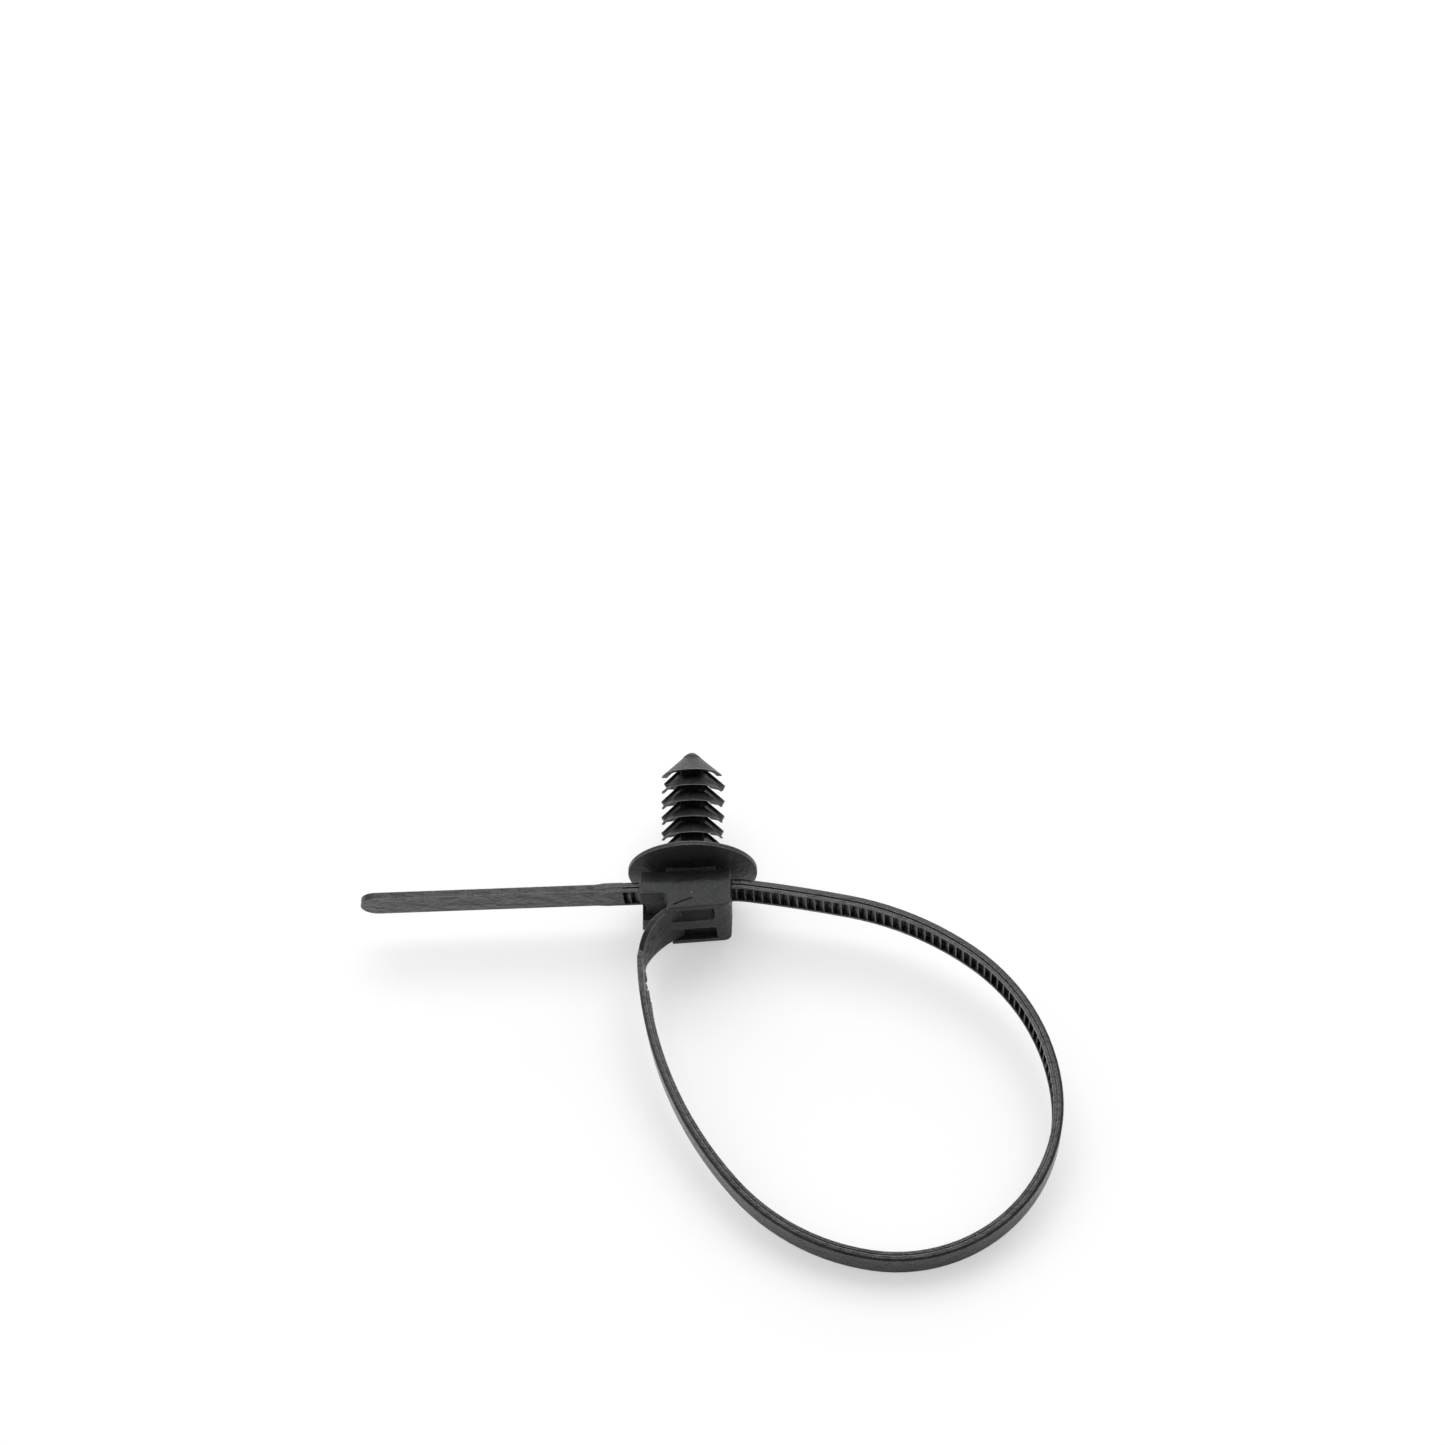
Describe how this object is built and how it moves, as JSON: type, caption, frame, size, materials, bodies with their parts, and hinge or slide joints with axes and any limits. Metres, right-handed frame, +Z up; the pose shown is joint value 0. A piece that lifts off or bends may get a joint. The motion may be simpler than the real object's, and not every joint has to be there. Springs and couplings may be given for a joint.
{
  "type": "fir tree cable tie",
  "caption": "One-piece cable tie closed into a loop, with a locking head, a toothed strap, a support disc and a fir tree push mount that presses into a panel hole.",
  "frame": {"origin": "centre of the part's outline on the surface that it lies on", "axes": "+Z up from that surface, +Y towards the tip of the fir tree, +X away from the strap's free end"},
  "size_m": [0.0926, 0.074, 0.0174],
  "materials": {
    "nylon": "satin black moulded nylon"
  },
  "bodies": {
    "root": {"cable_tie": "nylon"}
  },
  "joints": []
}
